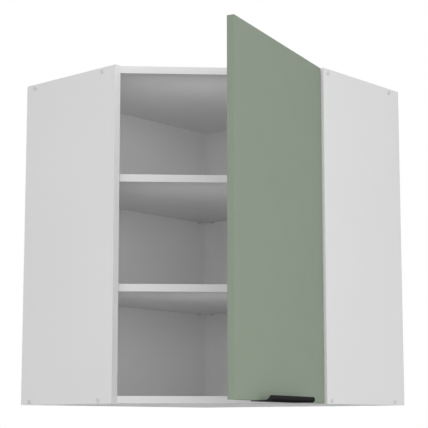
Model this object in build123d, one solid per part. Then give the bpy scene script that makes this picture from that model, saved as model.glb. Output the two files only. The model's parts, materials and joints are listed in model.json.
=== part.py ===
# Corner wall cabinet with a diagonal front: two square-cut side panels, two shelves, a
# hardboard back, and one door hung on the right side panel, standing open.
# Millimetres. The origin is the bottom of the room's corner and +Z is up. The walls are
# the planes x = 0 and y = 0, and the cabinet stands in +x and -y.
# The carcass is the same on both sides of the diagonal x = -y, so most pieces are made
# for the left side and mirrored to the right.

import os
from math import cos, radians, sin, sqrt

from build123d import *

# Carcass
wall_run = 600.0            # along each wall
cabinet_height = 716.0
side_depth = 285.0          # from the wall to a side panel's front edge
board = 16.0                # thickness of every board but the hardboard
arris = 1.0                 # broken outer front edge of the top and bottom boards
left_screw_rear = 27.0      # connecting screws, from the wall
left_screw_front = 40.0     # and from the side panel's front edge
right_screw_rear = 38.0
right_screw_front = 16.0

# Hardboard back
hardboard = 3.0
back_cavity = 16.0          # from the wall to the hardboard
groove_depth = 8.0
groove_gap = 0.15           # on each side of the hardboard in its groove
groove_end_gap = 0.5
batten_width = 60.0

# Shelves
shelf_gap = 1.0             # beside and behind a shelf
shelf_setback = 10.0        # behind the front edge of the top board
pin_radius = 2.5
pin_length = 16.0
pin_round = 1.25
pin_bore_depth = 8.5
pin_rear = 60.0             # from the wall
pin_front = 60.0            # from the side panel's front edge
corner_pin_distance = 45.0  # from the room's corner, into a batten
spare_hole_pitch = 32.0

# Connecting screws, caps and dowels
screw_length = 50.0
screw_thread_radius = 2.3
screw_neck_radius = 3.1
screw_head_radius = 4.4
screw_head_height = 4.5
socket_across_flats = 4.0
socket_depth = 3.0
cap_radius = 5.0
cap_height = 1.5
cap_round = 1.2
cap_stud_radius = 1.7
cap_stud_length = 2.4
dowel_radius = 4.0
dowel_length = 34.0
dowel_chamfer = 0.8
dowel_in_side = 12.0        # the rest is in the board
dowel_distance = 50.0       # from the connecting screw beside it
bore_gap = 0.1              # round a fastener in its bore
bore_end_gap = 0.5

# Hangers
hanger_length = 46.0        # forward from the hardboard
hanger_width = 20.0         # off the side panel
hanger_height = 58.0
hanger_top_gap = 12.0       # under the top board
hanger_round = 3.0
hook_thickness = 3.0
hook_bar_height = 12.0
hook_tip_width = 3.0
hook_tip_drop = 10.0
hook_wall_gap = 4.0
hook_inside = 24.0          # length of the hook inside the housing
hook_low = 30.0             # underside of the hook's bar over the housing's base
hook_gap = 0.2
hook_window = 4.0           # clear way round the hook in the hardboard
adjuster_radius = 2.5
adjuster_head_radius = 4.0
adjuster_head_height = 2.5
fixing_radius = 1.9
fixing_head_radius = 3.6
fixing_head_height = 2.0
fixing_in_side = 11.0
fixing_inset = 6.0          # from the housing's ends

# Door
door_thickness = 16.0
door_lap = 0.6              # past the inner corner of each side panel, when closed
door_round = 1.5            # edges of the outer face
door_bottom_gap = 2.0       # over the cabinet's lowest level
door_top_gap = 1.0          # under the cabinet's highest level
door_gap = 5.0              # closed door to the boards' front edges
door_open = 60.0            # degrees, in the rest pose

# Hinges
hinge_inset = 100.0         # from the door's ends
pivot_inset = 7.0           # from the door's hinge edge
pivot_depth = 6.0           # from the door's back face
cup_radius = 17.5
cup_depth = 11.5
cup_wall = 1.0
cheek_width = 4.4           # cheeks in the cup that hold the pin
cheek_reach = 5.0           # of a cheek past the pin, away from the door's edge
cup_edge = 3.0              # door's edge to the cup
cup_bore_gap = 0.1
cup_floor_gap = 0.5
flange_thickness = 1.2
flange_reach = 1.5          # of the round flange past the cup
wing_width = 15.0
wing_radius = 6.0
cup_screw_pitch = 52.0
cup_screw_offset = 5.5      # from the cup's centre, away from the door's edge
cup_screw_radius = 1.75
cup_screw_head_radius = 3.5
cup_screw_head_height = 1.0
cup_screw_length = 12.0
hinge_pin_radius = 1.25
hinge_pin_length = 16.4
running_gap = 0.08          # round the pin in the arm's eye
press_gap = 0.03            # round the pin in the cup
eye_radius = 2.3
neck_width = 7.0
neck_side_gap = 0.5         # to the cup's cheeks
neck_thickness = 3.0
neck_inner_radius = 12.0
neck_angle = 50.0           # degrees, from the straight arm to the leg at the pin
arm_web = 2.0
arm_width = 14.0
arm_wall = 1.4
arm_wall_reach = 7.0        # of the channel's walls towards the side panel
arm_back = 55.0             # arm's rear end behind the side panel's front edge
plate_line = 37.0           # mounting screws behind the side panel's front edge
plate_block_length = 38.0
plate_block_gap = 0.3       # block to the channel's walls
plate_wing_thickness = 2.5
plate_wing_width = 13.0
plate_wing_end = 8.0        # beyond each mounting screw
plate_wing_round = 4.3
plate_screw_pitch = 32.0
plate_screw_radius = 2.5
plate_screw_head_radius = 4.0
plate_screw_head_height = 1.6
plate_screw_length = 14.0
arm_screw_pitch = 20.0
arm_screw_radius = 1.8
arm_screw_head_radius = 3.4
arm_screw_head_height = 1.6
arm_screw_head_round = 0.8
arm_screw_length = 9.0
slot_width = 0.9
slot_depth = 0.8
slot_share = 0.6            # length of a screw's slots, of its head's width
tip_share = 0.45            # chamfer of a screw's tip, of its radius

# Pull on the door's lower edge, and bumpers
pull_length = 206.0
pull_offset = 11.0          # its middle from the door's middle, towards the free edge
pull_plate = 1.5
pull_reach = 28.0           # in front of the door's outer face
pull_lip_height = 11.2
pull_curve_start = 10.0     # in front of the door's outer face
pull_lip_top = 1.8          # thickness of the lip's upper edge
pull_facet_drop = 4.0       # height of the lip's sloping upper band
pull_facet_in = 1.6
pull_chamfer = 4.2
pull_screw_pitch = 90.0
pull_screw_radius = 1.6
pull_screw_head_radius = 3.0
pull_screw_head_height = 1.2
pull_screw_length = 16.0
bumper_radius = 4.0
bumper_inset = 25.0         # from the door's free edge
bumper_clearance = 0.3
bumper_round = 1.5

# Worked out from the sizes above
diagonal = sqrt(0.5)
inner_run = wall_run - board
back_face = back_cavity + hardboard
front_line = inner_run + side_depth          # x - y along the boards' front edges
top_inner = cabinet_height - board
shelf_pitch = (cabinet_height - board) / 3
lower_shelf_base = shelf_pitch
upper_shelf_base = 2 * shelf_pitch
shelf_bases = (lower_shelf_base, upper_shelf_base)
board_levels = (board / 2, cabinet_height - board / 2)
left_stations = (left_screw_rear, side_depth - left_screw_front)
right_stations = (right_screw_rear, side_depth - right_screw_front)
pin_stations = (pin_rear, side_depth - pin_front)
front_span = (wall_run - side_depth) / diagonal
door_width = front_span - 2 * board * diagonal + 2 * door_lap
closed_back = door_gap - board * diagonal    # closed door's back, out from the corners' line
pivot_along = (front_span - door_width) / 2 + pivot_inset
pivot_out = closed_back + pivot_depth
pivot_x = wall_run - diagonal * pivot_along + diagonal * pivot_out
pivot_y = -side_depth - diagonal * pivot_along - diagonal * pivot_out
door_low = door_bottom_gap
door_high = cabinet_height - door_top_gap
hinge_levels = {"lower": door_low + hinge_inset, "upper": door_high - hinge_inset}
cup_centre = cup_edge + cup_radius - pivot_inset
door_back = -pivot_depth
door_face = door_back + door_thickness
pull_middle = door_width / 2 - pivot_inset + pull_offset
arm_outer = neck_inner_radius + neck_thickness
panel_face = pivot_x - inner_run             # pivot to the side panel's inner face
block_height = arm_outer - arm_web - panel_face
panel_front = -side_depth - pivot_y          # pivot to the side panel's front edge
rest_turn = 225.0 + door_open
corner_pin_depth = back_face - pin_bore_depth          # of a corner pin behind the hardboard's face
hanger_base = top_inner - hanger_top_gap - hanger_height
hook_middle = -inner_run + hanger_width / 2
hook_bar_low = hanger_base + hook_low
hook_bar_high = hook_bar_low + hook_bar_height
hook_end = back_face + hook_inside
adjuster_length = hanger_length - hook_inside
adjuster_spot = (back_face + hanger_length, hook_middle, (hook_bar_low + hook_bar_high) / 2)
fixing_length = hanger_width + fixing_in_side

# Countersunk screws: length, radius, head radius, head height
fixing_size = (fixing_length, fixing_radius, fixing_head_radius, fixing_head_height)
cup_screw_size = (cup_screw_length, cup_screw_radius, cup_screw_head_radius, cup_screw_head_height)
plate_screw_size = (
    plate_screw_length,
    plate_screw_radius,
    plate_screw_head_radius,
    plate_screw_head_height,
)
pull_screw_size = (
    pull_screw_length,
    pull_screw_radius,
    pull_screw_head_radius,
    pull_screw_head_height,
)


def block(low, high):
    """Box between two corners."""
    size = [b - a for a, b in zip(low, high)]
    return Pos(*low) * Box(*size, align=(Align.MIN, Align.MIN, Align.MIN))


def rod(radius, low, high):
    """Cylinder on the Z axis between two heights."""
    return Pos(0, 0, low) * Cylinder(radius, high - low, align=(Align.CENTER, Align.CENTER, Align.MIN))


def facing(shape, origin, outward):
    """Places a shape so that its +Z points outward from origin."""
    return Plane(origin=origin, z_dir=outward).location * shape


def group(shapes):
    return Compound(list(shapes))


def to_right(shape):
    """Mirrors a piece of the left side to the right side."""
    return shape.mirror(Plane(origin=(0, 0, 0), z_dir=(1, 1, 0)))


def prism(points, low, high):
    """Upright prism over a list of plan points."""
    face = make_face(Polyline(*points, close=True))
    return Pos(0, 0, low) * extrude(face, high - low)


def diagonal_outline(side_gap, wall_offset, setback):
    """Plan of a board or shelf: square to both walls, with a diagonal front."""
    reach = inner_run - side_gap
    cut = front_line - setback / diagonal
    return [
        (wall_offset, -wall_offset),
        (reach, -wall_offset),
        (reach, reach - cut),
        (cut - reach, -reach),
        (wall_offset, -reach),
    ]


def cross_slot(head_radius, top):
    """Space of a screw's cross slot, in a head whose top is at that height."""
    run = 2 * head_radius * slot_share
    bars = Box(run, slot_width, 2 * slot_depth) + Box(slot_width, run, 2 * slot_depth)
    return Pos(0, 0, top) * bars


def screw(length, radius, head_radius, head_height):
    """Countersunk screw with its head's top at z = 0, pointing down."""
    head = Pos(0, 0, -head_height / 2) * Cone(radius, head_radius, head_height)
    shank = rod(radius, -length, -head_height)
    shank = chamfer(shank.edges().group_by(Axis.Z)[0], radius * tip_share)
    return head + shank - cross_slot(head_radius, 0)


def screw_bore(length, radius, head_radius, head_height):
    """The hole that such a screw sits in."""
    sink = Pos(0, 0, -head_height / 2) * Cone(radius + bore_gap, head_radius + bore_gap, head_height)
    return sink + rod(radius + bore_gap, -length - bore_end_gap, 0)


# Carcass joints -------------------------------------------------------------------------

def connecting_screw():
    head = rod(screw_head_radius, -screw_head_height, 0)
    neck = rod(screw_neck_radius, -board, -screw_head_height)
    thread = rod(screw_thread_radius, -screw_length, -board)
    thread = chamfer(thread.edges().group_by(Axis.Z)[0], screw_thread_radius * tip_share)
    socket = extrude(RegularPolygon(socket_across_flats / 2, 6, major_radius=False), -socket_depth)
    return head + neck + thread - socket


def connecting_bore():
    head = rod(screw_head_radius + bore_gap, -screw_head_height, 0)
    neck = rod(screw_neck_radius + bore_gap, -board, 0)
    thread = rod(screw_thread_radius + bore_gap, -screw_length - bore_end_gap, 0)
    return head + neck + thread


def cover_cap():
    dome = rod(cap_radius, 0, cap_height)
    dome = fillet(dome.edges().group_by(Axis.Z)[-1], cap_round)
    return dome + rod(cap_stud_radius, -cap_stud_length, 0)


def dowel():
    pin = rod(dowel_radius, dowel_in_side - dowel_length, dowel_in_side)
    return chamfer(pin.edges().filter_by(GeomType.CIRCLE), dowel_chamfer)


def dowel_bore():
    far = dowel_in_side - dowel_length - bore_end_gap
    return rod(dowel_radius + bore_gap, far, dowel_in_side + bore_end_gap)


def at_screws(shape, stations):
    """Copies on the left side panel's outer face, at its connecting screws."""
    return [facing(shape, (x, -wall_run, z), (0, -1, 0)) for x in stations for z in board_levels]


def at_dowels(shape, stations):
    """Copies where the dowels cross the left side panel's inner face."""
    spots = (stations[0] + dowel_distance, stations[1] - dowel_distance)
    return [facing(shape, (x, -inner_run, z), (0, -1, 0)) for x in spots for z in board_levels]


def carcass_bores(stations):
    return at_screws(connecting_bore(), stations) + at_dowels(dowel_bore(), stations)


# Boards ---------------------------------------------------------------------------------

def back_groove():
    """Space of the left hardboard back with its groove clearance."""
    low = (back_cavity - groove_gap, -inner_run - groove_depth, board - groove_depth)
    high = (back_face + groove_gap, -back_cavity + groove_gap, top_inner + groove_depth)
    return block(low, high)


def shelf_pin_bore():
    return rod(pin_radius + bore_gap, -pin_bore_depth, 0)


def side_panel(stations):
    panel = block((0, -wall_run, 0), (side_depth, -inner_run, cabinet_height))
    panel -= back_groove()
    panel -= carcass_bores(stations)
    for base in shelf_bases:
        for x in pin_stations:
            for step in (-1, 0, 1):
                z = base - pin_radius + step * spare_hole_pitch
                panel -= facing(shelf_pin_bore(), (x, -inner_run, z), (0, 1, 0))
    panel -= [facing(screw_bore(*fixing_size), spot, (0, 1, 0)) for spot in hanger_fixings()]
    return panel


def right_side_panel():
    panel = to_right(side_panel(right_stations))
    for level in hinge_levels.values():
        panel -= Pos(0, 0, level) * group(at_plate_screws(screw_bore(*plate_screw_size)))
    return panel


def end_board(low, outer):
    """Top or bottom board. outer is the height of its outer face."""
    slab = prism(diagonal_outline(0, 0, 0), low, low + board)
    front = slab.edges().filter_by(lambda e: abs(abs((e % 0.5).X) - abs((e % 0.5).Y)) < 1e-6)
    front = front.filter_by_position(Axis.Z, outer - arris / 2, outer + arris / 2)
    slab = chamfer(front, arris)
    slab -= [back_groove(), to_right(back_groove())]
    slab -= carcass_bores(left_stations)
    slab -= [to_right(bore) for bore in carcass_bores(right_stations)]
    return slab


def shelf(base):
    return prism(diagonal_outline(shelf_gap, back_face + shelf_gap, shelf_setback), base, base + board)


def back_panel(corner_end):
    """Left hardboard back, up to corner_end from the other wall."""
    reach = inner_run + groove_depth - groove_end_gap
    low = (back_cavity, -reach, board - groove_depth + groove_end_gap)
    high = (back_face, -corner_end, top_inner + groove_depth - groove_end_gap)
    panel = block(low, high)
    panel -= hook_window_block()
    for base in shelf_bases:
        hole = rod(pin_radius + bore_gap, -hardboard - bore_end_gap, bore_end_gap)
        panel -= facing(hole, (back_face, -corner_pin_distance, base - pin_radius), (1, 0, 0))
    return panel


def corner_batten(near_corner):
    """Batten on the left wall, from near_corner along it."""
    batten = block((0, -near_corner - batten_width, board), (back_cavity, -near_corner, top_inner))
    for base in shelf_bases:
        hole = rod(pin_radius + bore_gap, hardboard - corner_pin_depth - bore_end_gap, bore_end_gap)
        batten -= facing(hole, (back_cavity, -corner_pin_distance, base - pin_radius), (1, 0, 0))
    return batten


def shelf_pin(depth):
    """Pin that goes depth into its hole and stands out by half a pin's length."""
    pin = rod(pin_radius, -depth, pin_length / 2)
    return fillet(pin.edges().group_by(Axis.Z)[-1], pin_round)


def shelf_pins(base):
    z = base - pin_radius
    left = [facing(shelf_pin(pin_length / 2), (x, -inner_run, z), (0, 1, 0)) for x in pin_stations]
    left.append(facing(shelf_pin(corner_pin_depth), (back_face, -corner_pin_distance, z), (1, 0, 0)))
    return group(left + [to_right(pin) for pin in left])


# Hangers --------------------------------------------------------------------------------

def hanger_fixings():
    """Heads of the left hanger's two fixing screws."""
    y = -inner_run + hanger_width
    lower = (back_face + hanger_length - fixing_inset, y, hanger_base + fixing_inset)
    upper = (back_face + 2 * fixing_inset, y, hanger_base + hanger_height - fixing_inset)
    return lower, upper


def hanger_housing():
    low = (back_face, -inner_run, hanger_base)
    high = (back_face + hanger_length, -inner_run + hanger_width, hanger_base + hanger_height)
    housing = block(low, high)
    housing = fillet(housing.edges().filter_by(Axis.Z).sort_by(Axis.X)[-1:], hanger_round)
    half = hook_thickness / 2 + hook_gap
    pocket_low = (back_face, hook_middle - half, hook_bar_low - hook_gap)
    pocket_high = (hook_end + hook_gap, hook_middle + half, hook_bar_high + hook_gap)
    housing -= block(pocket_low, pocket_high)
    housing -= facing(adjuster_bore(), adjuster_spot, (1, 0, 0))
    housing -= [facing(screw_bore(*fixing_size), spot, (0, 1, 0)) for spot in hanger_fixings()]
    return housing


def hanger_hook():
    low = (hook_wall_gap, hook_middle - hook_thickness / 2, hook_bar_low)
    high = (hook_end, hook_middle + hook_thickness / 2, hook_bar_high)
    tip_low = (hook_wall_gap, low[1], hook_bar_low - hook_tip_drop)
    tip_high = (hook_wall_gap + hook_tip_width, high[1], hook_bar_low)
    return block(low, high) + block(tip_low, tip_high)


def hook_window_block():
    """Window in the hardboard that the hook passes through."""
    half = hook_thickness / 2 + hook_window
    low = (0, hook_middle - half, hook_bar_low - hook_tip_drop - hook_window)
    high = (back_face + hook_window, hook_middle + half, hook_bar_high + hook_window)
    return block(low, high)


def adjuster():
    body = rod(adjuster_head_radius, -adjuster_head_height, 0)
    body += rod(adjuster_radius, -adjuster_length, 0)
    return body - cross_slot(adjuster_head_radius, 0)


def adjuster_bore():
    head = rod(adjuster_head_radius + bore_gap, -adjuster_head_height - bore_gap, 0)
    return head + rod(adjuster_radius + bore_gap, -adjuster_length, 0)


def fixing_screws():
    return group(facing(screw(*fixing_size), spot, (0, 1, 0)) for spot in hanger_fixings())


# Door, in a frame on the hinge axis: +X along the door to its free edge, +Y out of its
# outer face, +Z up -----------------------------------------------------------------------

def on_door(shape):
    return Location((pivot_x, pivot_y, 0), (0, 0, rest_turn)) * shape


def at_cup_screws(shape):
    x = cup_centre + cup_screw_offset
    y = door_back - flange_thickness
    return [facing(shape, (x, y, side * cup_screw_pitch / 2), (0, -1, 0)) for side in (-1, 1)]


def at_pull_screws(shape):
    y = door_back + door_thickness / 2
    z = door_low - pull_plate
    spots = [(pull_middle + side * pull_screw_pitch, y, z) for side in (-1, 0, 1)]
    return [facing(shape, spot, (0, 0, -1)) for spot in spots]


def door_panel():
    low = (-pivot_inset, door_back, door_low)
    high = (door_width - pivot_inset, door_face, door_high)
    panel = block(low, high)
    panel = fillet(panel.faces().sort_by(Axis.Y)[-1].edges(), door_round)
    cup_bore = rod(cup_radius + cup_bore_gap, -cup_depth - cup_floor_gap, 0)
    for level in hinge_levels.values():
        panel -= Pos(0, 0, level) * facing(cup_bore, (cup_centre, door_back, 0), (0, -1, 0))
        panel -= Pos(0, 0, level) * group(at_cup_screws(screw_bore(*cup_screw_size)))
    panel -= at_pull_screws(screw_bore(*pull_screw_size))
    return panel


def pull():
    """Bent edge pull: a plate under the door that curves up into a lip in front of it."""
    tip = door_face + pull_reach
    base = door_low - pull_plate
    top = base + pull_lip_height
    lip_inner = tip - pull_facet_in - pull_lip_top
    start = door_face + pull_curve_start
    run = lip_inner - start
    rise = top - door_low
    radius = (run ** 2 + rise ** 2) / (2 * rise)
    half = (start + run * 0.5, door_low + radius - sqrt(radius ** 2 - (run * 0.5) ** 2))
    outline = [
        Line((door_back, base), (tip - pull_chamfer, base)),
        Line((tip - pull_chamfer, base), (tip, base + pull_chamfer)),
        Line((tip, base + pull_chamfer), (tip, top - pull_facet_drop)),
        Line((tip, top - pull_facet_drop), (tip - pull_facet_in, top)),
        Line((tip - pull_facet_in, top), (lip_inner, top)),
        ThreePointArc((lip_inner, top), half, (start, door_low)),
        Line((start, door_low), (door_back, door_low)),
        Line((door_back, door_low), (door_back, base)),
    ]
    section = Plane(origin=(pull_middle, 0, 0), x_dir=(0, 1, 0), z_dir=(1, 0, 0)) * make_face(outline)
    body = extrude(section, pull_length / 2, both=True)
    body -= at_pull_screws(screw_bore(*pull_screw_size))
    return body


def bumpers():
    height = door_gap - bumper_clearance
    stud = fillet(rod(bumper_radius, 0, height).edges().group_by(Axis.Z)[-1], bumper_round)
    x = door_width - pivot_inset - bumper_inset
    return group(facing(stud, (x, door_back, z), (0, -1, 0)) for z in board_levels)


# Hinges. The cup and pin are in the door's frame, and the arm and plate in a frame on
# the hinge axis that keeps the cabinet's own X and Y -------------------------------------

def hinge_cup():
    outer = rod(cup_radius, -cup_depth, 0)
    collar = rod(cup_radius + flange_reach, 0, flange_thickness)
    wing_height = cup_screw_pitch + 2 * wing_radius
    wing = extrude(RectangleRounded(wing_width, wing_height, wing_radius), flange_thickness)
    cup = outer + collar + Pos(cup_screw_offset, 0, 0) * wing
    cup -= rod(cup_radius - cup_wall, cup_wall - cup_depth, flange_thickness)
    # The cup's own -X faces the door's edge and its Y runs along the hinge axis.
    for side in (-1, 1):
        middle = side * (neck_width / 2 + neck_side_gap + cheek_width / 2)
        cheek = block(
            (-cup_radius, middle - cheek_width / 2, -cup_depth),
            (cheek_reach - cup_centre, middle + cheek_width / 2, 0),
        )
        cup += cheek & rod(cup_radius, -cup_depth, 0)
    frame = Plane(origin=(cup_centre, door_back, 0), x_dir=(1, 0, 0), z_dir=(0, -1, 0))
    cup = frame.location * cup
    cup -= at_cup_screws(screw_bore(*cup_screw_size))
    cup -= rod(hinge_pin_radius + press_gap, -hinge_pin_length / 2, hinge_pin_length / 2)
    return cup


def hinge_pin():
    return rod(hinge_pin_radius, -hinge_pin_length / 2, hinge_pin_length / 2)


def hinge_arm():
    rear = arm_back + panel_front
    eye = Cylinder(eye_radius, neck_width)
    leg = Rot(0, 0, 180 + neck_angle) * block(
        (0, -neck_thickness / 2, -neck_width / 2),
        (neck_inner_radius + neck_thickness / 2, neck_thickness / 2, neck_width / 2),
    )
    far = 2 * arm_outer
    turn = radians(180 + neck_angle)
    sector = [(0, 0), (-far, 0), (far * cos(turn), far * sin(turn))]
    neck = Cylinder(arm_outer, neck_width) - Cylinder(neck_inner_radius, neck_width)
    neck &= prism(sector, -neck_width / 2, neck_width / 2)
    tongue = block((-arm_outer, 0, -neck_width / 2), (-neck_inner_radius, panel_front, neck_width / 2))
    web = block((-arm_outer, panel_front, -arm_width / 2), (-arm_outer + arm_web, rear, arm_width / 2))
    arm = eye + leg + neck + tongue + web
    for side in (-1, 1):
        wall = block(
            (-arm_outer, panel_front, -arm_wall / 2),
            (-arm_outer + arm_wall_reach, rear, arm_wall / 2),
        )
        arm += Pos(0, 0, side * (arm_width - arm_wall) / 2) * wall
    arm -= Cylinder(hinge_pin_radius + running_gap, neck_width * 2)
    arm -= at_arm_screws(rod(arm_screw_radius + bore_gap, -arm_web - bore_gap, bore_gap))
    return arm


def at_plate_screws(shape):
    """Copies in the cabinet's own frame, on the mounting plate's wings."""
    x = inner_run - plate_wing_thickness
    y = plate_line - side_depth
    return [facing(shape, (x, y, side * plate_screw_pitch / 2), (-1, 0, 0)) for side in (-1, 1)]


def at_arm_screws(shape):
    """Copies on the arm's web, in the arm's frame."""
    middle = panel_front + plate_line
    spots = [(-arm_outer, middle + side * arm_screw_pitch / 2, 0) for side in (-1, 1)]
    return [facing(shape, spot, (-1, 0, 0)) for spot in spots]


def arm_screw():
    """Pan-head screw that clamps the arm to the mounting plate."""
    body = rod(arm_screw_head_radius, 0, arm_screw_head_height)
    body = fillet(body.edges().group_by(Axis.Z)[-1], arm_screw_head_round)
    body += rod(arm_screw_radius, -arm_screw_length, 0)
    return body - cross_slot(arm_screw_head_radius, arm_screw_head_height)


def mounting_plate():
    half = arm_width / 2 - arm_wall - plate_block_gap
    middle = panel_front + plate_line
    face = -panel_face
    low = (face - block_height, middle - plate_block_length / 2, -half)
    plate = block(low, (face, middle + plate_block_length / 2, half))
    reach = plate_screw_pitch / 2 + plate_wing_end
    plate += block(
        (face - plate_wing_thickness, middle - plate_wing_width / 2, -reach),
        (face, middle + plate_wing_width / 2, reach),
    )
    corners = plate.edges().filter_by(Axis.X).filter_by(lambda e: abs(e.center().Z) > half)
    plate = fillet(corners, plate_wing_round)
    bore = rod(arm_screw_radius + bore_gap, -arm_screw_length - bore_end_gap, 0)
    plate -= at_arm_screws(bore)
    plate -= Pos(-pivot_x, -pivot_y, 0) * group(at_plate_screws(screw_bore(*plate_screw_size)))
    return plate


def hinge_parts(level):
    """Every piece of one hinge, by the last part of its name."""
    up = Pos(0, 0, level)
    fixed = Pos(pivot_x, pivot_y, level)
    return {
        "hinge_cup": on_door(up * hinge_cup()),
        "hinge_cup_screws": on_door(up * group(at_cup_screws(screw(*cup_screw_size)))),
        "hinge_pin": on_door(up * hinge_pin()),
        "hinge_arm": fixed * hinge_arm(),
        "hinge_plate": fixed * mounting_plate(),
        "hinge_plate_screws": up * group(at_plate_screws(screw(*plate_screw_size))),
        "hinge_arm_screws": fixed * group(at_arm_screws(arm_screw())),
    }


def build():
    left_dowels = at_dowels(dowel(), left_stations)
    right_dowels = [to_right(pin) for pin in at_dowels(dowel(), right_stations)]
    nodes = {
        "left_side_panel": side_panel(left_stations),
        "right_side_panel": right_side_panel(),
        "top_panel": end_board(top_inner, cabinet_height),
        "bottom_panel": end_board(0, 0),
        "upper_shelf": shelf(upper_shelf_base),
        "lower_shelf": shelf(lower_shelf_base),
        "left_back_panel": back_panel(back_cavity),
        "right_back_panel": to_right(back_panel(back_face)),
        "left_corner_batten": corner_batten(0),
        "right_corner_batten": to_right(corner_batten(back_cavity)),
        "left_side_screws": group(at_screws(connecting_screw(), left_stations)),
        "right_side_screws": to_right(group(at_screws(connecting_screw(), right_stations))),
        "left_screw_caps": group(at_screws(cover_cap(), left_stations)),
        "right_screw_caps": to_right(group(at_screws(cover_cap(), right_stations))),
        "board_dowels": group(left_dowels + right_dowels),
        "upper_shelf_pins": shelf_pins(upper_shelf_base),
        "lower_shelf_pins": shelf_pins(lower_shelf_base),
        "door_panel": on_door(door_panel()),
        "door_pull": on_door(pull()),
        "door_pull_screws": on_door(group(at_pull_screws(screw(*pull_screw_size)))),
        "door_bumpers": on_door(bumpers()),
    }
    hanger = {
        "hanger_housing": hanger_housing(),
        "hanger_hook": hanger_hook(),
        "hanger_adjuster": facing(adjuster(), adjuster_spot, (1, 0, 0)),
        "hanger_screws": fixing_screws(),
    }
    for name, shape in hanger.items():
        nodes["left_" + name] = shape
        nodes["right_" + name] = to_right(shape)
    for place, level in hinge_levels.items():
        for name, shape in hinge_parts(level).items():
            nodes[place + "_" + name] = shape
    return nodes


if __name__ == "__main__":
    os.makedirs("parts", exist_ok=True)
    for name, shape in build().items():
        export_step(shape, os.path.join("parts", name + ".step"))
        print(name, len(shape.solids()), round(shape.volume))
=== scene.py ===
import json
import math

import bpy
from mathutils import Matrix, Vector

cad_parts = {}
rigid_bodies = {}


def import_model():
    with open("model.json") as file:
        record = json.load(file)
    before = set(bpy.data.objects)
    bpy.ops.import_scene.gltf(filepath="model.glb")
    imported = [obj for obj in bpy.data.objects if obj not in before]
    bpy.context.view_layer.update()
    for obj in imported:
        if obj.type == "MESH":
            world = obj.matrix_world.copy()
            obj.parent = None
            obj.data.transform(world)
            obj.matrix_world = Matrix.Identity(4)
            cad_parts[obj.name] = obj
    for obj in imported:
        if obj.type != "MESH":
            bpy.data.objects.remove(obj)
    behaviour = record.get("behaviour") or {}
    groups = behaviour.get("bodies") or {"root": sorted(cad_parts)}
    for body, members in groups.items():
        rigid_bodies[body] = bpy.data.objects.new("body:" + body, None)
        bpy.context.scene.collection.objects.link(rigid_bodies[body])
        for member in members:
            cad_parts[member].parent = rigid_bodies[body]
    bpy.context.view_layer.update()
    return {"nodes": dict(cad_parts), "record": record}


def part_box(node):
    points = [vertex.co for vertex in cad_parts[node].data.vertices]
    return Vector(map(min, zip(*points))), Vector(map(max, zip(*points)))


for leftover in list(bpy.data.objects):  # a start-up cube, lamp or camera
    bpy.data.objects.remove(leftover)
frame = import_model()
nodes = frame["nodes"]
print("frame loaded,", len(nodes), "nodes")

# Camera: the photograph looks into the corner from just under the cabinet
cameraLook = {
    "place": (2.2653, -2.5051, -0.0421),  # metres
    "turn": 131.721,                      # degrees from +X, seen from above
    "pitch": 8.296,                       # degrees above the horizon
    "focal": 1326.147,                    # pixels
    "frameWidth": 428,                    # pixels
    "sensor": 36.0,                       # millimetres
    "shiftUp": 0.04,                      # of the frame
    "near": 0.05,                         # metres
    "far": 200.0,                         # metres
}


def makeCamera(look):
    data = bpy.data.cameras.new("camera")
    data.sensor_width = look["sensor"]
    data.lens = look["focal"] / look["frameWidth"] * look["sensor"]
    data.shift_y = look["shiftUp"]
    data.clip_start = look["near"]
    data.clip_end = look["far"]
    camera = bpy.data.objects.new("camera", data)
    camera.location = look["place"]
    turn = math.radians(look["turn"] - 90.0)
    camera.rotation_euler = (math.radians(90.0 + look["pitch"]), 0.0, turn)
    bpy.context.scene.collection.objects.link(camera)
    bpy.context.scene.camera = camera


makeCamera(cameraLook)
print("camera placed")


# Shader helpers: sockets take a number, a colour or another node's output
def setSockets(tree, node, sockets):
    for name, value in sockets.items():
        if isinstance(value, bpy.types.NodeSocket):
            tree.links.new(value, node.inputs[name])
        else:
            node.inputs[name].default_value = value


def addNode(tree, kind, sockets=None, **settings):
    node = tree.nodes.new("ShaderNode" + kind)
    for name, value in settings.items():
        setattr(node, name, value)
    setSockets(tree, node, sockets or {})
    return node


def maths(tree, operation, first, second=0.0, clamp=False):
    return addNode(tree, "Math", {0: first, 1: second}, operation=operation, use_clamp=clamp).outputs[0]


def mixColours(tree, mask, low, high):
    return addNode(tree, "Mix", {0: mask, 6: low, 7: high}, data_type="RGBA").outputs[2]


def mixValues(tree, mask, low, high):
    return addNode(tree, "Mix", {0: mask, 2: low, 3: high}, data_type="FLOAT").outputs[0]


def remap(tree, value, low, high, newLow=0.0, newHigh=1.0):
    spans = {"Value": value, "From Min": low, "From Max": high, "To Min": newLow, "To Max": newHigh}
    return addNode(tree, "MapRange", spans).outputs[0]


def newGroup(name, inputs, outputs):
    group = bpy.data.node_groups.new(name, "ShaderNodeTree")
    for label, kind, value in inputs:
        socket = group.interface.new_socket(label, in_out="INPUT", socket_type="NodeSocket" + kind)
        socket.default_value = value
    for label, kind in outputs:
        group.interface.new_socket(label, in_out="OUTPUT", socket_type="NodeSocket" + kind)
    return group, group.nodes.new("NodeGroupInput").outputs, group.nodes.new("NodeGroupOutput")


def grey(level):
    return (level, level, level, 1.0)


noiseReach = {"low": 0.3, "high": 0.7}  # most values of a noise texture lie between these


def noiseOf(tree, place, scale, detail):
    return addNode(tree, "TexNoise", {"Vector": place, "Scale": scale, "Detail": detail}).outputs


def swingOf(tree, noise):  # from -1 to 1
    return remap(tree, noise["Fac"], noiseReach["low"], noiseReach["high"], -1.0, 1.0)


# Slow drift of tone over a surface, as in every printed or moulded finish
driftLook = {"colour": grey(0.8), "scale": 4.0, "amount": 0.02, "detail": 3.0}


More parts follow.
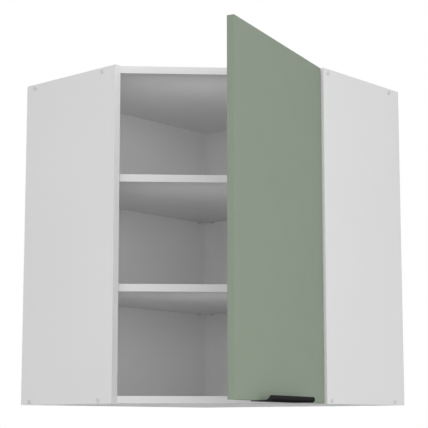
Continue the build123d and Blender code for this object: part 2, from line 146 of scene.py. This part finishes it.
def makeToneDrift(look):
    group, given, end = newGroup(
        "toneDrift",
        [
            ("Colour", "Color", look["colour"]),
            ("Scale", "Float", look["scale"]),
            ("Amount", "Float", look["amount"]),
        ],
        [("Colour", "Color")],
    )
    place = addNode(group, "TexCoord").outputs["Object"]
    cloud = noiseOf(group, place, given["Scale"], look["detail"])
    drift = maths(group, "MULTIPLY", swingOf(group, cloud), given["Amount"])
    factor = maths(group, "ADD", drift, 1.0)
    tinted = addNode(group, "VectorMath", {0: given["Colour"], "Scale": factor}, operation="SCALE")
    setSockets(group, end, {"Colour": tinted.outputs[0]})
    return group


# Fine tooth of a laminate, lacquer or moulding, with a little spread in gloss
toothLook = {
    "scale": 900.0,
    "roughness": 0.4,
    "spread": 0.05,
    "detail": 4.0,
    "smearScale": 18.0,
    "smearDetail": 5.0,
}


def makeFineTooth(look):
    group, given, end = newGroup(
        "fineTooth",
        [
            ("Scale", "Float", look["scale"]),
            ("Roughness", "Float", look["roughness"]),
            ("Spread", "Float", look["spread"]),
        ],
        [("Height", "Float"), ("Roughness", "Float")],
    )
    place = addNode(group, "TexCoord").outputs["Object"]
    grain = noiseOf(group, place, given["Scale"], look["detail"])
    smear = noiseOf(group, place, look["smearScale"], look["smearDetail"])
    gloss = maths(group, "MULTIPLY", swingOf(group, smear), given["Spread"])
    setSockets(group, end, {
        "Height": grain["Fac"],
        "Roughness": maths(group, "ADD", gloss, given["Roughness"], clamp=True),
    })
    return group


# Where a surface faces a direction, in the object's own axes
facingLook = {"direction": (0.0, 0.0, 1.0), "closeness": 0.8}  # 1 is straight towards it


def makeFacingMask(look):
    group, given, end = newGroup(
        "facingMask",
        [("Direction", "Vector", look["direction"]), ("Closeness", "Float", look["closeness"])],
        [("Mask", "Float")],
    )
    normal = addNode(group, "TexCoord").outputs["Normal"]
    dot = addNode(group, "VectorMath", {0: normal, 1: given["Direction"]}, operation="DOT_PRODUCT")
    mask = maths(group, "GREATER_THAN", dot.outputs["Value"], given["Closeness"])
    setSockets(group, end, {"Mask": mask})
    return group


# Pressed wood flakes with fine dust between them
chipLook = {
    "scale": 520.0,
    "warpScale": 300.0,
    "warp": 0.004,
    "dustScale": 1400.0,
    "detail": 3.0,
    "flakeShare": 0.7,
    "dustShare": 0.3,
    "dark": (0.27, 0.165, 0.085, 1.0),
    "middle": (0.48, 0.335, 0.195, 1.0),
    "middleAt": 0.35,
    "light": (0.62, 0.46, 0.29, 1.0),
}


def makeChipCore(look):
    group, given, end = newGroup(
        "chipCore",
        [("Scale", "Float", look["scale"])],
        [("Colour", "Color"), ("Height", "Float")],
    )
    place = addNode(group, "TexCoord").outputs["Object"]
    warp = noiseOf(group, place, look["warpScale"], look["detail"])
    push = addNode(group, "VectorMath", {0: warp["Color"], "Scale": look["warp"]}, operation="SCALE")
    spot = addNode(group, "VectorMath", {0: place, 1: push.outputs[0]}, operation="ADD").outputs[0]
    flake = addNode(group, "TexVoronoi", {"Vector": spot, "Scale": given["Scale"]})
    pick = addNode(group, "SeparateColor", {0: flake.outputs["Color"]}).outputs[0]
    dust = noiseOf(group, place, look["dustScale"], look["detail"])
    flakePart = maths(group, "MULTIPLY", pick, look["flakeShare"])
    dustPart = maths(group, "MULTIPLY", dust["Fac"], look["dustShare"])
    ramp = addNode(group, "ValToRGB", {"Fac": maths(group, "ADD", flakePart, dustPart)})
    ramp.color_ramp.elements[0].color = look["dark"]
    ramp.color_ramp.elements[1].color = look["light"]
    ramp.color_ramp.elements.new(look["middleAt"]).color = look["middle"]
    setSockets(group, end, {"Colour": ramp.outputs["Color"], "Height": flake.outputs["Distance"]})
    return group


# Fine drawn or rolled lines on metal, along the object's Z
linesLook = {
    "scale": 500.0,
    "roughness": 0.3,
    "spread": 0.08,
    "detail": 4.0,
    "stretch": (1.0, 1.0, 0.05),
}


def makeDrawnLines(look):
    group, given, end = newGroup(
        "drawnLines",
        [
            ("Scale", "Float", look["scale"]),
            ("Roughness", "Float", look["roughness"]),
            ("Spread", "Float", look["spread"]),
        ],
        [("Height", "Float"), ("Roughness", "Float")],
    )
    place = addNode(group, "TexCoord").outputs["Object"]
    drawn = addNode(group, "VectorMath", {0: place, 1: look["stretch"]}, operation="MULTIPLY")
    lines = noiseOf(group, drawn.outputs[0], given["Scale"], look["detail"])
    gloss = maths(group, "MULTIPLY", swingOf(group, lines), given["Spread"])
    setSockets(group, end, {
        "Height": lines["Fac"],
        "Roughness": maths(group, "ADD", gloss, given["Roughness"], clamp=True),
    })
    return group


toneDrift = makeToneDrift(driftLook)
fineTooth = makeFineTooth(toothLook)
facingMask = makeFacingMask(facingLook)
chipCore = makeChipCore(chipLook)
drawnLines = makeDrawnLines(linesLook)
print("shader groups built")


def useGroup(tree, group, sockets):
    return addNode(tree, "Group", sockets, node_tree=group).outputs


def drifting(tree, colour, scale, amount):
    return useGroup(tree, toneDrift, {"Colour": colour, "Scale": scale, "Amount": amount})["Colour"]


def toothOf(tree, look):
    return useGroup(tree, fineTooth, {
        "Scale": look["toothScale"],
        "Roughness": look["roughness"],
        "Spread": look["spread"],
    })


def facing(tree, direction, closeness=facingLook["closeness"]):
    return useGroup(tree, facingMask, {"Direction": direction, "Closeness": closeness})["Mask"]


def bumpOf(tree, height, depth=1.0):  # a height in metres needs no depth
    return addNode(tree, "Bump", {"Height": height, "Distance": depth, "Strength": 1.0}).outputs[0]


def newMaterial(name):
    material = bpy.data.materials.new(name)
    material.use_nodes = True
    return material, material.node_tree, material.node_tree.nodes["Principled BSDF"]


# The left wall is x = 0, the right wall is y = 0, and the room lies at +x and -y
towards = {
    "leftWall": (-1.0, 0.0, 0.0),
    "rightWall": (0.0, 1.0, 0.0),
    "awayFromLeftWall": (1.0, 0.0, 0.0),
    "awayFromRightWall": (0.0, -1.0, 0.0),
    "front": (0.7071, -0.7071, 0.0),
}

# Melamine-faced chipboard: white faces and front edges, the front edges a darker grey as painted shade, raw
# core where it meets the wall
whiteBoardLook = {
    "colour": grey(0.780),
    "shadedEdge": grey(0.755),       # front edges of the top and bottom boards, a little darker: painted shade
    "shelfShadedEdge": grey(0.708),  # front edges of the shelves, darker still: painted shade
    "driftScale": 3.0,
    "drift": 0.010,
    "toothScale": 1100.0,
    "toothDepth": 0.00002,
    "roughness": 0.42,
    "spread": 0.05,
    "gloss": 0.25,
    "rawRoughness": 0.88,
    "rawDepth": 0.0006,
    "wallReach": 0.0215,         # faces this near a wall and facing it are raw
}


def makeWhiteBoard(name, look, shadedEdge):
    material, tree, shader = newMaterial(name)
    place = addNode(tree, "SeparateXYZ", {0: addNode(tree, "TexCoord").outputs["Object"]}).outputs
    nearLeft = maths(tree, "LESS_THAN", place["X"], look["wallReach"])
    nearRight = maths(tree, "GREATER_THAN", place["Y"], -look["wallReach"])
    rawLeft = maths(tree, "MULTIPLY", facing(tree, towards["leftWall"]), nearLeft)
    rawRight = maths(tree, "MULTIPLY", facing(tree, towards["rightWall"]), nearRight)
    raw = maths(tree, "MAXIMUM", rawLeft, rawRight)
    # front-facing edges take the darker grey: painted shade, not the edge banding's own colour
    faces = mixColours(tree, facing(tree, towards["front"]), look["colour"], shadedEdge)
    paper = drifting(tree, faces, look["driftScale"], look["drift"])
    tooth = toothOf(tree, look)
    core = useGroup(tree, chipCore, {})
    toothHeight = maths(tree, "MULTIPLY", tooth["Height"], look["toothDepth"])
    coreHeight = maths(tree, "MULTIPLY", core["Height"], look["rawDepth"])
    setSockets(tree, shader, {
        "Base Color": mixColours(tree, raw, paper, core["Colour"]),
        "Roughness": mixValues(tree, raw, tooth["Roughness"], look["rawRoughness"]),
        "Normal": bumpOf(tree, mixValues(tree, raw, toothHeight, coreHeight)),
        "Specular IOR Level": look["gloss"],
    })
    return material


# Hardboard: white lacquer towards the room, brown fibre with a screen print behind
hardboardLook = {
    "lacquer": grey(0.780),
    "lacquerDriftScale": 4.0,
    "lacquerDrift": 0.015,
    "toothScale": 700.0,
    "toothDepth": 0.00003,
    "roughness": 0.5,
    "spread": 0.05,
    "gloss": 0.35,
    "fibre": (0.23, 0.125, 0.062, 1.0),
    "fibreDark": (0.15, 0.078, 0.038, 1.0),
    "fibreScale": 420.0,
    "fibreDetail": 5.0,
    "fibreDarkest": 0.35,    # noise value at which the fibre is darkest
    "fibreLightest": 0.70,
    "fibreDriftScale": 6.0,
    "fibreDrift": 0.05,
    "fibreRoughness": 0.82,
    "screenPitch": 0.0022,
    "screenDepth": 0.0003,
}


def makeHardboard(look):
    material, tree, shader = newMaterial("whiteHardboard")
    source = addNode(tree, "TexCoord").outputs["Object"]
    leftBack = facing(tree, towards["awayFromLeftWall"])
    rightBack = facing(tree, towards["awayFromRightWall"])
    white = maths(tree, "MAXIMUM", leftBack, rightBack)
    paint = drifting(tree, look["lacquer"], look["lacquerDriftScale"], look["lacquerDrift"])
    tooth = toothOf(tree, look)
    fuzz = noiseOf(tree, source, look["fibreScale"], look["fibreDetail"])
    lightness = remap(tree, fuzz["Fac"], look["fibreDarkest"], look["fibreLightest"])
    fibre = mixColours(tree, lightness, look["fibreDark"], look["fibre"])
    brown = drifting(tree, fibre, look["fibreDriftScale"], look["fibreDrift"])
    axes = addNode(tree, "SeparateXYZ", {0: source}).outputs
    across = maths(tree, "ADD", axes["X"], axes["Y"])
    waves = [
        maths(tree, "SINE", maths(tree, "MULTIPLY", line, 2.0 * math.pi / look["screenPitch"]))
        for line in (across, axes["Z"])
    ]
    screenHeight = maths(tree, "MULTIPLY", maths(tree, "MULTIPLY", waves[0], waves[1]), look["screenDepth"])
    toothHeight = maths(tree, "MULTIPLY", tooth["Height"], look["toothDepth"])
    setSockets(tree, shader, {
        "Base Color": mixColours(tree, white, brown, paint),
        "Roughness": mixValues(tree, white, look["fibreRoughness"], tooth["Roughness"]),
        "Normal": bumpOf(tree, mixValues(tree, white, screenHeight, toothHeight)),
        "Specular IOR Level": look["gloss"],
    })
    return material


# Battens: strips of the same board with raw cut edges; the left one lies against x = 0
battenLook = {
    "colour": grey(0.74),
    "driftScale": 9.0,
    "drift": 0.012,
    "roughness": 0.5,
    "gloss": 0.35,
    "rawRoughness": 0.9,
    "rawDepth": 0.0005,
    "thickness": 0.0161,
}


def makeBatten(look):
    material, tree, shader = newMaterial("battenBoard")
    along = addNode(tree, "SeparateXYZ", {0: addNode(tree, "TexCoord").outputs["Object"]}).outputs["X"]
    onLeft = maths(tree, "LESS_THAN", along, look["thickness"])
    facesOfLeft = [facing(tree, towards[name]) for name in ("leftWall", "awayFromLeftWall")]
    facesOfRight = [facing(tree, towards[name]) for name in ("rightWall", "awayFromRightWall")]
    whiteOnLeft = maths(tree, "MAXIMUM", facesOfLeft[0], facesOfLeft[1])
    whiteOnRight = maths(tree, "MAXIMUM", facesOfRight[0], facesOfRight[1])
    white = mixValues(tree, onLeft, whiteOnRight, whiteOnLeft)
    core = useGroup(tree, chipCore, {})
    paper = drifting(tree, look["colour"], look["driftScale"], look["drift"])
    coreHeight = maths(tree, "MULTIPLY", core["Height"], maths(tree, "SUBTRACT", 1.0, white))
    setSockets(tree, shader, {
        "Base Color": mixColours(tree, white, core["Colour"], paper),
        "Roughness": mixValues(tree, white, look["rawRoughness"], look["roughness"]),
        "Normal": bumpOf(tree, coreHeight, look["rawDepth"]),
        "Specular IOR Level": look["gloss"],
    })
    return material


# Door: matt green foil over fibreboard, white behind; the foil on its edges painted darker as painted shade
doorLook = {
    "foil": (0.243, 0.295, 0.226, 1.0),
    # foil on the edges and rounded arrises, darker than the front: painted shade
    "edges": (0.220, 0.268, 0.206, 1.0),
    "flatness": 0.98,  # how squarely a spot faces front to count as the front
    "driftScale": 3.5,
    "drift": 0.012,
    "back": (0.72, 0.72, 0.715, 1.0),
    "backDriftScale": 3.0,
    "backDrift": 0.012,
    "backRoughness": 0.45,
    "toothScale": 1500.0,
    "toothDepth": 0.00002,
    "roughness": 0.56,
    "spread": 0.03,
    "gloss": 0.35,
}


def doorBackDirection():  # the back is the large face that looks towards the left wall at rest
    largest = max(nodes["door_panel"].data.polygons, key=lambda face: face.area)
    normal = Vector(largest.normal)
    return normal if normal.dot(Vector(towards["leftWall"])) > 0.0 else -normal


def makeGreenDoor(look):
    material, tree, shader = newMaterial("greenDoor")
    inward = doorBackDirection()
    back = facing(tree, inward)
    front = facing(tree, -inward, look["flatness"])
    # all but the flat front takes the darker green: painted shade
    green = mixColours(tree, front, look["edges"], look["foil"])
    foil = drifting(tree, green, look["driftScale"], look["drift"])
    plain = drifting(tree, look["back"], look["backDriftScale"], look["backDrift"])
    tooth = toothOf(tree, look)
    setSockets(tree, shader, {
        "Base Color": mixColours(tree, back, foil, plain),
        "Roughness": mixValues(tree, back, tooth["Roughness"], look["backRoughness"]),
        "Normal": bumpOf(tree, tooth["Height"], look["toothDepth"]),
        "Specular IOR Level": look["gloss"],
    })
    return material


# Matt black anodising on the pull, and black plating on its screws
blackLooks = {
    "blackPull": {
        "colour": (0.027, 0.027, 0.028, 1.0),
        "driftScale": 25.0,
        "drift": 0.1,
        "lineScale": 700.0,
        "lineDepth": 0.000004,
        "roughness": 0.62,
        "spread": 0.05,
        "metallic": 0.0,
        "gloss": 0.0,
    },
    "blackScrew": {
        "colour": (0.014, 0.014, 0.015, 1.0),
        "driftScale": 25.0,
        "drift": 0.1,
        "lineScale": 900.0,
        "lineDepth": 0.000004,
        "roughness": 0.40,
        "spread": 0.06,
        "metallic": 0.0,
        "gloss": 0.25,
    },
}
# Zinc on the hangers and screws, nickel on hinges and shelf pins
brightLooks = {
    "zincSteel": {
        "colour": (0.58, 0.60, 0.63, 1.0),
        "driftScale": 60.0,
        "drift": 0.10,
        "lineScale": 420.0,
        "lineDepth": 0.00001,
        "roughness": 0.38,
        "spread": 0.12,
        "metallic": 1.0,
        "gloss": 0.5,
    },
    "nickelSteel": {
        "colour": (0.70, 0.68, 0.65, 1.0),
        "driftScale": 60.0,
        "drift": 0.04,
        "lineScale": 420.0,
        "lineDepth": 0.00001,
        "roughness": 0.27,
        "spread": 0.08,
        "metallic": 1.0,
        "gloss": 0.5,
    },
}


def makeDrawnMetal(name, look):
    material, tree, shader = newMaterial(name)
    lines = useGroup(tree, drawnLines, {
        "Scale": look["lineScale"],
        "Roughness": look["roughness"],
        "Spread": look["spread"],
    })
    setSockets(tree, shader, {
        "Base Color": drifting(tree, look["colour"], look["driftScale"], look["drift"]),
        "Metallic": look["metallic"],
        "Roughness": lines["Roughness"],
        "Specular IOR Level": look["gloss"],
        "Normal": bumpOf(tree, lines["Height"], look["lineDepth"]),
    })
    return material


# Moulded plastics: cover caps and hanger housings
plasticLooks = {
    "whiteCap": {
        "colour": grey(0.64),
        "driftScale": 40.0,
        "drift": 0.015,
        "toothScale": 1300.0,
        "toothDepth": 0.00003,
        "roughness": 0.42,
        "spread": 0.04,
        "gloss": 0.5,
    },
    "whitePlastic": {
        "colour": (0.72, 0.72, 0.71, 1.0),
        "driftScale": 40.0,
        "drift": 0.015,
        "toothScale": 1600.0,
        "toothDepth": 0.00003,
        "roughness": 0.46,
        "spread": 0.04,
        "gloss": 0.5,
    },
}


def makePlastic(name, look):
    material, tree, shader = newMaterial(name)
    tooth = toothOf(tree, look)
    setSockets(tree, shader, {
        "Base Color": drifting(tree, look["colour"], look["driftScale"], look["drift"]),
        "Roughness": tooth["Roughness"],
        "Normal": bumpOf(tree, tooth["Height"], look["toothDepth"]),
        "Specular IOR Level": look["gloss"],
    })
    return material


# Milky rubber bumpers
rubberLook = {
    "colour": (0.70, 0.70, 0.67, 1.0),
    "driftScale": 120.0,
    "drift": 0.03,
    "toothScale": 800.0,
    "toothDepth": 0.00002,
    "roughness": 0.34,
    "spread": 0.06,
    "clearness": 0.20,
    "refraction": 1.45,
}


def makeRubber(look):
    material, tree, shader = newMaterial("clearRubber")
    tooth = toothOf(tree, look)
    setSockets(tree, shader, {
        "Base Color": drifting(tree, look["colour"], look["driftScale"], look["drift"]),
        "Roughness": tooth["Roughness"],
        "Transmission Weight": look["clearness"],
        "IOR": look["refraction"],
        "Normal": bumpOf(tree, tooth["Height"], look["toothDepth"]),
    })
    return material


# Beech dowels with a fine speckled grain
dowelLook = {
    "light": (0.56, 0.37, 0.21, 1.0),
    "dark": (0.40, 0.24, 0.125, 1.0),
    "grainScale": 700.0,
    "grainDetail": 6.0,
    "grainDarkest": 0.35,
    "grainLightest": 0.65,
    "grainDepth": 0.0001,
    "roughness": 0.62,
}


def makeDowelWood(look):
    material, tree, shader = newMaterial("dowelWood")
    place = addNode(tree, "TexCoord").outputs["Object"]
    grain = noiseOf(tree, place, look["grainScale"], look["grainDetail"])["Fac"]
    lightness = remap(tree, grain, look["grainDarkest"], look["grainLightest"])
    setSockets(tree, shader, {
        "Base Color": mixColours(tree, lightness, look["dark"], look["light"]),
        "Roughness": look["roughness"],
        "Normal": bumpOf(tree, grain, look["grainDepth"]),
    })
    return material


finishes = {
    "white_board": makeWhiteBoard("whiteBoard", whiteBoardLook, whiteBoardLook["shadedEdge"]),
    "white_hardboard": makeHardboard(hardboardLook),
    "batten": makeBatten(battenLook),
    "dowel_wood": makeDowelWood(dowelLook),
    "green_door": makeGreenDoor(doorLook),
    "black_pull": makeDrawnMetal("blackPull", blackLooks["blackPull"]),
    "black_screw": makeDrawnMetal("blackScrew", blackLooks["blackScrew"]),
    "clear_rubber": makeRubber(rubberLook),
    "white_cap": makePlastic("whiteCap", plasticLooks["whiteCap"]),
    "white_plastic": makePlastic("whitePlastic", plasticLooks["whitePlastic"]),
    "zinc_steel": makeDrawnMetal("zincSteel", brightLooks["zincSteel"]),
    "nickel_steel": makeDrawnMetal("nickelSteel", brightLooks["nickelSteel"]),
}
slotOf = {entry["node"]: entry["material_slot"] for entry in frame["record"]["subparts"]}
finishOf = {name: finishes[slotOf[name]] for name in nodes}
# the shelves differ from the boards only by the darker painted shade on their front edges
shelfFinish = makeWhiteBoard("whiteShelf", whiteBoardLook, whiteBoardLook["shelfShadedEdge"])
for name in ("upper_shelf", "lower_shelf"):
    finishOf[name] = shelfFinish
for name, node in nodes.items():
    for holder in node.material_slots:
        holder.material = finishOf[name]
print("finishes given to", len(nodes), "nodes")

# Edging strips leave a slightly rounded arris on every board
arrisLook = {
    "slots": ("white_board", "batten"),
    "weld": 0.000001,    # metres
    "width": 0.0005,     # metres
    "segments": 2,
    "leastAngle": 40.0,  # degrees; flatter edges stay as they are
}


def roundArrises(look):
    boards = [node for name, node in nodes.items() if slotOf[name] in look["slots"]]
    for board in boards:
        weld = board.modifiers.new("weld", "WELD")
        weld.merge_threshold = look["weld"]
        bevel = board.modifiers.new("arris", "BEVEL")
        bevel.width = look["width"]
        bevel.segments = look["segments"]
        bevel.limit_method = "ANGLE"
        bevel.angle_limit = math.radians(look["leastAngle"])
        bevel.harden_normals = True
    return len(boards)


print("arrises rounded on", roundArrises(arrisLook), "boards")

# Floor well under the hung cabinet, white where it is seen but for the cabinet's shadow
floorLook = {
    "level": -1.0,          # metres
    "reach": 40.0,          # metres from the corner
    "colour": grey(0.20),   # as it lights the cabinet
    "seen": grey(0.86),
    "lift": 0.24,           # glow where it is seen
    "roughness": 0.9,
}


def seenDirectly(tree):
    path = addNode(tree, "LightPath").outputs
    mirrored = maths(tree, "MAXIMUM", path["Is Glossy Ray"], path["Is Transmission Ray"])
    return maths(tree, "MAXIMUM", path["Is Camera Ray"], mirrored)


def makeFloor(look):
    reach = look["reach"]
    mesh = bpy.data.meshes.new("floor")
    corners = [(-reach, -reach), (reach, -reach), (reach, reach), (-reach, reach)]
    mesh.from_pydata([(x, y, look["level"]) for x, y in corners], [], [(0, 1, 2, 3)])
    floor = bpy.data.objects.new("floor", mesh)
    bpy.context.scene.collection.objects.link(floor)
    material, tree, shader = newMaterial("floorPaint")
    seen = seenDirectly(tree)
    setSockets(tree, shader, {
        "Base Color": mixColours(tree, seen, look["colour"], look["seen"]),
        "Emission Color": grey(1.0),
        "Emission Strength": maths(tree, "MULTIPLY", seen, look["lift"]),
        "Roughness": look["roughness"],
        "Specular IOR Level": 0.0,
    })
    mesh.materials.append(material)


makeFloor(floorLook)

# Dome of white light, plain white where it is seen
domeLook = {
    "horizon": 1.06,
    "zenith": 0.98,
    "zenithFrom": 0.6,  # height on the dome, of 1, from which it has the zenith's strength
    "seen": 1.0,
}


def makeWorld(look):
    world = bpy.data.worlds.new("studio")
    world.use_nodes = True
    bpy.context.scene.world = world
    tree = world.node_tree
    direction = addNode(tree, "TexCoord").outputs["Generated"]
    height = addNode(tree, "SeparateXYZ", {0: direction}).outputs["Z"]
    level = remap(tree, height, 0.0, look["zenithFrom"], look["horizon"], look["zenith"])
    strength = mixValues(tree, seenDirectly(tree), level, look["seen"])
    setSockets(tree, tree.nodes["Background"], {"Strength": strength, "Color": grey(1.0)})


makeWorld(domeLook)

# Broad soft lamps: one straight in front, a weaker one to the right
lampLooks = {
    "frontLamp": {"place": (2.10, -2.10, 0.36), "aim": (0.30, -0.30, 0.36), "size": 1.8, "power": 21.0},
    "rightLamp": {"place": (2.85, -0.90, 0.36), "aim": (0.30, -0.30, 0.36), "size": 1.8, "power": 3.85},
}
# Low lamps just inside the openings, which lift the shade of the compartments
openingLook = {
    "boards": ("bottom_panel", "lower_shelf", "upper_shelf", "top_panel"),
    "behindFront": 0.0125,
    "width": 0.40,
    "over": 0.03,                     # clear of the board below
    "under": 0.10,                    # clear of the board above
    "radiances": (1.32, 1.22, 1.50),  # lowest opening first
}


def addLamp(name, place, direction, width, height, power):
    data = bpy.data.lights.new(name, "AREA")
    data.shape = "RECTANGLE"
    data.size = width
    data.size_y = height
    data.energy = power
    lamp = bpy.data.objects.new(name, data)
    lamp.location = place
    lamp.rotation_euler = direction.to_track_quat("-Z", "Y").to_euler()
    lamp.visible_camera = False
    bpy.context.scene.collection.objects.link(lamp)
    return lamp


def makeLamps(looks):
    for name, look in looks.items():
        direction = Vector(look["aim"]) - Vector(look["place"])
        addLamp(name, look["place"], direction, look["size"], look["size"], look["power"])


def makeOpeningLamps(look):
    boards = [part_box(name) for name in look["boards"]]
    inward = Vector((-1.0, 1.0, 0.0)).normalized()
    lowest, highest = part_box("left_side_panel")
    frontLeft = Vector((highest.x, lowest.y, 0.0))
    frontRight = Vector((-lowest.y, -highest.x, 0.0))
    middle = (frontLeft + frontRight) / 2.0 + inward * look["behindFront"]
    for number, radiance in enumerate(look["radiances"]):
        lower, upper = boards[number], boards[number + 1]
        bottom = lower[1].z + look["over"]
        top = upper[0].z - look["under"]
        height = top - bottom
        place = Vector((middle.x, middle.y, (bottom + top) / 2.0))
        power = math.pi * look["width"] * height * radiance
        lamp = addLamp("openingLamp" + str(number + 1), place, inward, look["width"], height, power)
        lamp.visible_glossy = False


makeLamps(lampLooks)
makeOpeningLamps(openingLook)

scene = bpy.context.scene
scene.view_settings.view_transform = "Standard"
print("stage set")
